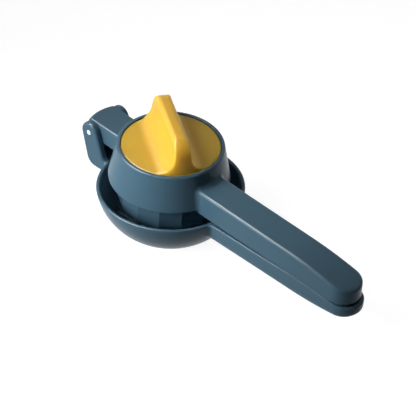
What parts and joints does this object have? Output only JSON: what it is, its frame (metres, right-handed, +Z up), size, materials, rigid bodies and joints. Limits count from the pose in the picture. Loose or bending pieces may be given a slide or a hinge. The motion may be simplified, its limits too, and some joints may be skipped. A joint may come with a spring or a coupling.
{
  "type": "lemon squeezer",
  "caption": "Hand lemon squeezer with a drained bowl, a hinged cup housing on two long handles, and a turning yellow knob that wrings a faceted press head.",
  "frame": {"origin": "on the bowl's axis in the plane of its flat base", "axes": "+X along the handles towards their tips, +Y across to the left seen from the hinge, +Z up along the bowl's axis"},
  "size_m": [0.2133, 0.0898, 0.0784],
  "materials": {
    "arm_plastic": "satin",
    "knob_plastic": "satin",
    "pin_steel": "brushed",
    "screw_steel": "plain",
    "plug_rubber": "matte",
    "slip_plastic": "smooth",
    "seal_rubber": "matte"
  },
  "bodies": {
    "lower": {"lower_arm": "arm_plastic", "hinge_pin": "pin_steel"},
    "upper": {"upper_arm": "arm_plastic", "thrust_ring": "slip_plastic", "spindle_seal": "seal_rubber"},
    "turning": {"knob": "knob_plastic", "press_head": "arm_plastic", "spindle_screw": "screw_steel", "screw_washer": "screw_steel", "screw_plug": "plug_rubber"}
  },
  "joints": [
    {"name": "arm_hinge", "type": "hinge", "parent": "lower", "child": "upper", "pos_m": [-0.0566, 0, 0.04355], "axis": [0, -1, 0], "range_deg": [0, 110]},
    {"name": "knob_turn", "type": "hinge", "parent": "upper", "child": "turning", "pos_m": [-0.00107, 0, 0.04077], "axis": [0.0501, 0, 0.9987], "continuous": true}
  ]
}
